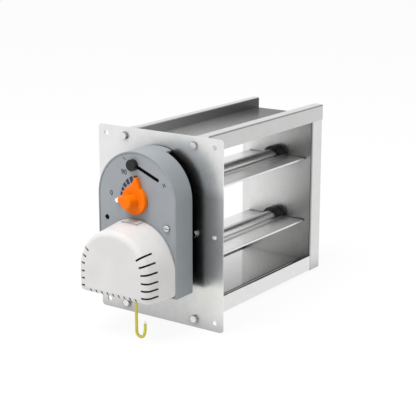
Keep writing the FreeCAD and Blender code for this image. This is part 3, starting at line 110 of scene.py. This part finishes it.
class Finish:
    """A node material: add() makes a node, sets it and links the sockets given as inputs."""

    def __init__(self, name, **shader):
        self.material = bpy.data.materials.new(name)
        self.material.use_nodes = True
        self.tree = self.material.node_tree
        self.shader = self.tree.nodes["Principled BSDF"]
        self.spot = self.add("ShaderNodeTexCoord").outputs["Object"]
        self.set(self.shader, {key.replace("_", " "): value for key, value in shader.items()})

    def set(self, node, inputs):
        for key, value in inputs.items():
            if isinstance(value, bpy.types.NodeSocket):
                self.tree.links.new(value, node.inputs[key])
            else:
                node.inputs[key].default_value = value

    def add(self, kind, inputs=None, **settings):
        node = self.tree.nodes.new(kind)
        for key, value in settings.items():
            setattr(node, key, value)
        self.set(node, inputs or {})
        return node

    def noise(self, scale, detail=3.0, stretch=(1, 1, 1)):
        """Noise with about scale features per metre, drawn out where stretch is small."""
        spread = self.add("ShaderNodeMapping", {"Vector": self.spot, "Scale": stretch})
        return self.add("ShaderNodeTexNoise", {"Vector": spread.outputs[0], "Scale": scale,
                                               "Detail": detail}).outputs["Fac"]

    def cells(self, scale):
        """Flat random cells, as of zinc crystals."""
        grain = self.add("ShaderNodeTexVoronoi", {"Vector": self.spot, "Scale": scale})
        return self.add("ShaderNodeRGBToBW", {"Color": grain.outputs["Color"]}).outputs[0]

    def between(self, amount, low, high, start=0.3, end=0.7):
        """The numbers from low to high as amount goes from start to end."""
        return self.add("ShaderNodeMapRange", {"Value": amount, "From Min": start, "From Max": end,
                                               "To Min": low, "To Max": high}).outputs[0]

    def tint(self, amount, low, high, start=0.3, end=0.7):
        """The colours from low to high as amount goes from start to end."""
        ramp = self.add("ShaderNodeValToRGB", {"Fac": amount})
        for element, place, colour in zip(ramp.color_ramp.elements, (start, end), (low, high)):
            element.position = place
            element.color = (*colour, 1)
        return ramp.outputs[0]

    def open_share(self, reach):
        """How open the surface is to what lies within reach, from 0 in a closed corner to 1; the finishes
        darken their colour by it as painted shade.
        """
        node = self.add("ShaderNodeAmbientOcclusion", {"Distance": reach}, samples=OPEN_SAMPLES)
        return node.outputs["AO"]

    def compute(self, operation, first, second):
        return self.add("ShaderNodeMath", {0: first, 1: second}, operation=operation).outputs[0]

    def times(self, *factors):
        """The product of number sockets."""
        product = factors[0]
        for factor in factors[1:]:
            product = self.compute("MULTIPLY", product, factor)
        return product

    def along(self, axis, low, high, start, end):
        """The numbers from low to high as the place along an axis goes from start to end."""
        return self.between(self.add("ShaderNodeSeparateXYZ", {"Vector": self.spot}).outputs[axis],
                            low, high, start, end)

    def dimmed(self, zone, axis, start, end, near, far, soft=SOFT_BOUND):
        """Near to far as the place along an axis goes from start to end inside a zone, and 1 outside.
        zone holds its bounds along some of the axes, and soft is how far it fades out past them."""
        inside = [self.along(side, 0.0, 1.0, low - soft, low) for side, (low, high) in zone.items()]
        inside += [self.along(side, 1.0, 0.0, high, high + soft) for side, (low, high) in zone.items()]
        lack = self.along(axis, 1 - near, 1 - far, start, end)
        return self.compute("SUBTRACT", 1.0, self.times(*inside, lack))

    def grey(self, level):
        channels = dict.fromkeys(("Red", "Green", "Blue"), level)
        return self.add("ShaderNodeCombineColor", channels).outputs[0]

    def scaled(self, colour, factor):
        """A colour made darker or lighter by a factor socket. Sockets 6, 7 and 2 of the mix node are
        its two colours and its colour result."""
        mix = self.add("ShaderNodeMix", data_type="RGBA", blend_type="MULTIPLY")
        self.set(mix, {0: 1.0, 6: colour, 7: self.grey(factor)})
        return mix.outputs[2]

    def raised(self, height, depth, edge=0.0):
        """Bump of that depth in metres; edge is the radius to which sharp edges look rounded."""
        inputs = {"Height": height, "Distance": depth, "Strength": 1.0}
        if edge:
            bevel = self.add("ShaderNodeBevel", {"Radius": edge}, samples=EDGE_SAMPLES)
            inputs["Normal"] = bevel.outputs[0]
        self.set(self.shader, {"Normal": self.add("ShaderNodeBump", inputs).outputs[0]})


def shade(colour, factor):
    return tuple(channel*factor for channel in colour)


# Features per metre
ROLLED, SMEARED, CRYSTALS = 2600, 24, 130
DRAWN = 1500
SPARKED, CLOUDED = 2400, 35
BROKEN_INK = 3500
GRAIN_WAYS = {"Y": (1, 0.02, 1), "Z": (1, 1, 0.02)}


def sheet_steel(name, along, tone=(0.80, 0.80, 0.795), rough=0.27, closed=(0.15, 0.74, 0.10),
                shaded=(), reflection_shade=()):
    """Zinc-coated sheet: rolled grain along one axis, faint crystals, and painted shade that darkens its
    colour in closed places.
    closed holds the open shares where that painted shade ends and starts, and how dark it gets. shaded
    holds further zones of painted shade and painted reflection, and the last argument those where the
    reflection is dimmed as painted shade."""
    look = Finish(name)
    grain = look.noise(ROLLED, 4, GRAIN_WAYS[along])
    smear = look.noise(SMEARED, 2)
    crystals = look.cells(CRYSTALS)
    mixed = look.compute("ADD", look.between(grain, 0, 0.5), look.between(crystals, 0, 0.5, 0, 1))
    colour = look.tint(mixed, shade(tone, 0.96), shade(tone, 1.03), 0.1, 0.9)
    # Painted shade: the colour is darkened in closed places, and further in the shaded zones
    start, end, deep = closed
    shares = [look.between(look.open_share(CLOSED_REACH), deep, 1.0, start, end)]
    shares += [look.dimmed(*zone) for zone in shaded]
    look.set(look.shader, {"Base Color": look.scaled(colour, look.times(*shares))})
    worn = look.compute("ADD", look.between(grain, -0.02, 0.02), look.between(smear, rough, rough + 0.05))
    # Painted shade on the reflection: metallic and sheen are lowered in the last argument's zones
    mirror = look.times(1.0, *[look.dimmed(*zone) for zone in reflection_shade])
    look.set(look.shader, {"Roughness": worn, "Metallic": mirror, "Specular Tint": look.grey(mirror)})
    look.raised(grain, 0.0000012)
    return look.material


def bar_steel(name, tone=(0.66, 0.66, 0.67), rough=0.22, hollow=0.0):
    """Drawn or plated steel with a fine unordered grain. Where hollow is given, painted shade darkens it
    in closed places, within that reach."""
    look = Finish(name, Metallic=1.0)
    grain = look.noise(DRAWN, 5)
    colour = look.tint(grain, shade(tone, 0.86), shade(tone, 1.1))
    # Painted shade in closed places
    if hollow:
        colour = look.scaled(colour, look.between(look.open_share(hollow), 0.04, 1.0, 0.25, 0.85))
    worn = look.between(grain, rough - 0.05, rough + 0.08)
    look.set(look.shader, {"Base Color": colour, "Roughness": worn})
    look.raised(grain, 0.000004)
    return look.material


def moulded(name, colour, rough, texture=SPARKED, depth=0.00001, edge=0.0004, patchy=0.04, hollow=0.0,
            shut=(0.14, 0.46), **shader):
    """Moulded plastic: a spark-eroded grain, slightly patchy colour and softened edges. Where hollow is
    given, painted shade darkens the plastic in closed places, within that reach; shut holds the open
    shares where that painted shade ends and starts."""
    look = Finish(name, **shader)
    grain = look.noise(texture, 4)
    cloud = look.noise(CLOUDED, 3)
    tone = look.tint(cloud, shade(colour, 1 - patchy), shade(colour, 1 + patchy))
    # Painted shade in closed places
    if hollow:
        tone = look.scaled(tone, look.between(look.open_share(hollow), 0.01, 1.0, *shut))
    worn = look.between(grain, rough - 0.05, rough + 0.07)
    look.set(look.shader, {"Base Color": tone, "Roughness": worn})
    look.raised(grain, depth, edge)
    return look.material


def ink(name, colour):
    """Pad-printed ink with a slightly broken surface."""
    look = Finish(name)
    body = look.noise(BROKEN_INK, 3)
    look.set(look.shader, {"Base Color": look.tint(body, shade(colour, 0.85), shade(colour, 1.25)),
                           "Roughness": look.between(body, 0.35, 0.55)})
    return look.material


# Finishes by slot; galvanised, bright_screw, grey_housing and white_cover carry painted shade in their
# closed places
FINISHES = {
    "galvanised": sheet_steel("zinc_sheet_upright", "Z"),
    "bright_screw": bar_steel("zinc_screw", (0.78, 0.78, 0.79), 0.16, hollow=0.005),
    "ground_steel": bar_steel("ground_bar"),
    "black_nylon": moulded("black_nylon", (0.010, 0.010, 0.011), 0.34, patchy=0.15,
                           Specular_IOR_Level=0.35),
    "natural_nylon": moulded("natural_nylon", (0.83, 0.82, 0.77), 0.42),
    "grey_housing": moulded("grey_housing", (0.240, 0.262, 0.278), 0.42, hollow=0.02),
    "grey_dial": moulded("grey_dial", (0.265, 0.286, 0.306), 0.50, depth=0.000006, edge=0.0002),
    "orange_knob": moulded("orange_knob", (0.78, 0.155, 0.0), 0.55, patchy=0.03,
                           Specular_IOR_Level=0.15),
    "white_cover": moulded("white_cover", (0.57, 0.560, 0.555), 0.45, depth=0.000014, edge=0.0005,
                           hollow=0.006, shut=(0.40, 0.78)),
    "black_coat": moulded("black_coat", (0.012, 0.012, 0.013), 0.45, patchy=0.15),
    "sintered_bronze": bar_steel("sintered_bronze", (0.60, 0.42, 0.24), 0.40),
    "motor_can": bar_steel("motor_can", (0.55, 0.56, 0.57), 0.30),
    "green_terminal": moulded("green_terminal", (0.03, 0.22, 0.07), 0.40),
    "black_rubber": moulded("black_rubber", (0.02, 0.02, 0.02), 0.65, patchy=0.2),
    "yellow_lead": moulded("yellow_lead", (0.56, 0.52, 0.035), 0.30, texture=900, edge=0.0),
    "bare_wire": bar_steel("bare_wire", (0.80, 0.78, 0.74), 0.25),
}

# Zones of painted shade and painted reflection on the sheet pieces, and zones where their reflection is
# dimmed as painted shade, by their bounds in the frame

HUMP = {"X": (-0.0094, 0.0094)}
BESIDE_HOUSING = {"X": (0.0540, 0.0810), "Z": (-0.0420, 0.0400)}
TROUGH = {"X": (-0.0412, 0.0371), "Z": (0.0863, 0.0983)}
BRIM = {"Z": (0.0988, 0.1000)}
TOP_FOLD = {"X": (0.0474, 0.0500), "Z": (0.0977, 0.0985)}
DUCT_FLOOR = {"X": (-0.0412, 0.0371), "Z": (-0.0870, -0.0850)}
REAR_GROOVE = {"X": (-0.0500, -0.0412), "Z": (-0.1000, -0.0800)}
FAR_WEB = {"X": (-0.0500, 0.0476), "Y": (0.2270, 0.2305)}
FAR_FOLD = {"X": (0.0470, 0.0500), "Y": (0.2280, 0.2297)}
LIP = {"X": (0.0486, 0.0500)}


def even(zone, level, soft=SOFT_BOUND):
    """A zone of painted shade with the same level all over."""
    return zone, "X", 0.0, 1.0, level, level, soft


# Painted shade and painted reflection on the blades' hump, darker on its -X side, lighter on its +X side
BLADE_STEEL = sheet_steel("zinc_sheet_blades", "Y", closed=(0.15, 0.80, 0.10),
                          shaded=[(HUMP, "X", -0.005, 0.005, 0.42, 0.92)])
# Painted shade and painted reflection on the sheet pieces: the plate's darker band beside the housing
# stands in for the housing's reflection; the top channel's trough, brim, fold and lip, the duct floor,
# the far web, its fold and the lips are darkened as painted shade; and the reflection of the trough and
# the rear groove is dimmed as painted shade
SHEETS = {
    "mounting_plate": sheet_steel(
        "zinc_sheet_plate", "Z", tone=(0.83, 0.83, 0.825), closed=(0.15, 0.80, 0.08),
        shaded=[even(BESIDE_HOUSING, 0.62, 13*MM)]),
    "top_channel": sheet_steel(
        "zinc_sheet_top", "Y", closed=(0.0, 0.35, 0.4),
        shaded=[(TROUGH, "Y", 0.03, 0.22, 0.42, 0.11), even(BRIM, 0.84), even(TOP_FOLD, 0.45),
                even(LIP, 0.75)],
        reflection_shade=[even(TROUGH, 0.35)]),
    "bottom_channel": sheet_steel(
        "zinc_sheet_floor", "Y", rough=0.07, closed=(0.0, 0.35, 0.6),
        shaded=[(DUCT_FLOOR, "X", -0.041, 0.037, 0.75, 0.36), even(LIP, 0.95)],
        reflection_shade=[even(REAR_GROOVE, 0.1)]),
    "far_end_channel": sheet_steel(
        "zinc_sheet_far", "Z",
        shaded=[(FAR_WEB, "X", -0.035, 0.045, 0.95, 0.48), even(FAR_FOLD, 0.5), even(LIP, 0.88)]),
    "upper_blade": BLADE_STEEL,
    "lower_blade": BLADE_STEEL}
PRINT = ink("dial_ink", (0.006, 0.020, 0.055))


def dress(thing, material):
    thing.data.materials.clear()
    thing.data.materials.append(material)
    return thing


for entry in frame["record"]["subparts"]:
    piece = NODES[entry["node"]]
    dress(piece, SHEETS.get(entry["node"], FINISHES[entry["material_slot"]]))

# Yellow lead: one hanging curve with a hook at its end

LEAD_RADIUS = 1.55*MM
LEAD_EXIT = Vector((15.0*MM, -61.5*MM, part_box("lead_grommet")[0].z))
LEAD_POINTS = [LEAD_EXIT] + [Vector(point)*MM for point in (
    (15.0, -61.5, -87.8), (15.0, -61.5, -99.3), (26.5, -61.5, -99.5), (26.3, -61.5, -84.5))]


def lead():
    data = bpy.data.curves.new("lead", "CURVE")
    data.dimensions = "3D"
    data.bevel_depth = LEAD_RADIUS
    data.bevel_resolution = 8
    data.use_fill_caps = True
    data.resolution_u = 24
    line = data.splines.new("NURBS")
    line.points.add(len(LEAD_POINTS) - 1)
    for spot, place in zip(line.points, LEAD_POINTS):
        spot.co = (*place, 1)
    line.order_u = 3
    line.use_endpoint_u = True
    wire = dress(link(bpy.data.objects.new("yellow_lead", data)), FINISHES["yellow_lead"])
    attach(wire, "frame")
    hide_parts("lead_wire")


lead()

# Printed marks on the dial: thin raised ink, laid out about the knob's axis

DIAL_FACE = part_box("dial_plate")[0].y
AXIS_Z = sum(corner.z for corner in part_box("drive_shaft"))/2
INK = 0.04*MM


def printed(name, outlines):
    """One piece of ink from closed outlines, each a list of (x, z) in metres."""
    work = bmesh.new()
    for outline in outlines:
        back = [work.verts.new((x, DIAL_FACE, z)) for x, z in outline]
        front = [work.verts.new((x, DIAL_FACE - INK, z)) for x, z in outline]
        work.faces.new(front)
        work.faces.new(back[::-1])
        for i in range(len(outline)):
            j = (i + 1) % len(outline)
            work.faces.new((front[i], back[i], back[j], front[j]))
    bmesh.ops.recalc_face_normals(work, faces=work.faces)
    data = bpy.data.meshes.new(name)
    work.to_mesh(data)
    work.free()
    mark = dress(link(bpy.data.objects.new(name, data)), PRINT)
    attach(mark, "frame")


STROKE = 0.75


def bar(start, end):
    """The outline of a straight stroke between two points, in millimetres."""
    start, end = Vector(start), Vector(end)
    side = (end - start).orthogonal().normalized()*STROKE/2
    return [tuple(corner*MM) for corner in (start + side, end + side, end - side, start - side)]


# The band of segments: turns about the axis in degrees, radii in millimetres
OPEN_TURN, CLOSED_TURN = 85.5, 174.0
BAND_INNER = 17.6
BAND_OPEN, BAND_CLOSED = 25.5, 21.0
BAND_TAPER = 1.3
BAND_SEGMENTS = 6
BAND_GAP = 4.0
SEGMENT_STEPS = 6


def band_outer(turn):
    """The band's outer radius, widest at the open end."""
    share = (turn - OPEN_TURN)/(CLOSED_TURN - OPEN_TURN)
    return BAND_OPEN + (BAND_CLOSED - BAND_OPEN)*min(1.0, share*BAND_TAPER)


def from_axis(radius, turn):
    angle = math.radians(turn)
    return radius*MM*math.cos(angle), AXIS_Z + radius*MM*math.sin(angle)


def band():
    pitch = (CLOSED_TURN - OPEN_TURN + BAND_GAP)/BAND_SEGMENTS
    outlines = []
    for i in range(BAND_SEGMENTS):
        first = OPEN_TURN + i*pitch
        turns = [first + (pitch - BAND_GAP)*k/SEGMENT_STEPS for k in range(SEGMENT_STEPS + 1)]
        outlines.append([from_axis(band_outer(turn), turn) for turn in turns]
                        + [from_axis(BAND_INNER, turn) for turn in reversed(turns)])
    printed("opening_band", outlines)


band()
printed("minus_mark", [bar((-16.9, 79.7), (-12.6, 77.7))])
printed("plus_mark", [bar((33.0, 58.7), (38.2, 56.0)), bar((36.9, 59.7), (34.0, 54.7))])

NUMERAL_SIZE = 7.28*MM
NUMERAL_BOLD = 0.16*MM


def number(name, numerals, x, z):
    """Plain numerals, centred at x and z in millimetres."""
    data = bpy.data.curves.new(name, "FONT")
    data.body = numerals
    data.size = NUMERAL_SIZE
    data.extrude = INK/2
    data.offset = NUMERAL_BOLD
    data.align_x, data.align_y = "CENTER", "CENTER"
    figure = dress(link(bpy.data.objects.new(name, data)), PRINT)
    place = Matrix.Translation((x*MM, DIAL_FACE - INK/2, z*MM))
    figure.matrix_world = place @ Matrix.Rotation(math.pi/2, 4, "X")
    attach(figure, "frame")


number("open_number", "90", -15.6, 64.4)
number("closed_number", "0", -32.5, 40.2)

# Floor, world and lamp

FLOOR_SIDE = 30.0
FLOOR_DROP = 0.4*MM
FLOOR_WHITE = 0.92
AMBIENT = 0.72


def seen_or_mirrored(tree):
    """1 for rays from the camera or a mirroring surface, else 0."""
    rays = tree.nodes.new("ShaderNodeLightPath")
    either = tree.nodes.new("ShaderNodeMath")
    either.operation = "MAXIMUM"
    tree.links.new(rays.outputs["Is Camera Ray"], either.inputs[0])
    tree.links.new(rays.outputs["Is Glossy Ray"], either.inputs[1])
    return either.outputs[0]


def stage():
    """A wide floor that is nearly white where it is seen or mirrored, and keeps the object's shadow."""
    data = bpy.data.meshes.new("floor")
    half = FLOOR_SIDE/2
    low = CAD_BOX[0].z - FLOOR_DROP
    data.from_pydata([(-half, -half, low), (half, -half, low), (half, half, low), (-half, half, low)], [],
                     [(0, 1, 2, 3)])
    floor = link(bpy.data.objects.new("floor", data))
    look = Finish("pale_floor", Roughness=0.9)
    clouds = look.noise(3, 2)
    look.set(look.shader, {"Base Color": look.tint(clouds, (0.84, 0.84, 0.84), (0.86, 0.86, 0.86))})
    white = look.add("ShaderNodeEmission", {"Color": (1, 1, 1, 1), "Strength": 1.0})
    share = look.times(seen_or_mirrored(look.tree), FLOOR_WHITE)
    blend = look.add("ShaderNodeMixShader", {0: share, 1: look.shader.outputs[0], 2: white.outputs[0]})
    look.tree.links.new(blend.outputs[0], look.tree.nodes["Material Output"].inputs["Surface"])
    dress(floor, look.material)


def world():
    """White where it is seen or mirrored, and a plain level of light otherwise."""
    sky = bpy.data.worlds.new("studio")
    bpy.context.scene.world = sky
    sky.use_nodes = True
    tree = sky.node_tree
    back = tree.nodes["Background"]
    level = tree.nodes.new("ShaderNodeMapRange")
    level.inputs["To Min"].default_value = AMBIENT
    level.inputs["To Max"].default_value = 1.0
    tree.links.new(seen_or_mirrored(tree), level.inputs["Value"])
    tree.links.new(level.outputs[0], back.inputs["Strength"])
    back.inputs["Color"].default_value = (1, 1, 1, 1)


def lamp(name, toward, distance, side, power):
    """A square soft light that faces the middle of the object."""
    data = bpy.data.lights.new(name, "AREA")
    data.size = side
    data.energy = power
    lit = link(bpy.data.objects.new(name, data))
    middle = (CAD_BOX[0] + CAD_BOX[1])/2
    way = Vector(toward).normalized()
    lit.location = middle + way*distance
    lit.rotation_mode = "QUATERNION"
    lit.rotation_quaternion = (-way).to_track_quat("-Z", "Y")
    lit.visible_glossy = False


stage()
world()
lamp("key", (-0.10, -0.38, 0.92), 1.7, 1.0, 30)
bpy.context.scene.view_settings.view_transform = "Standard"
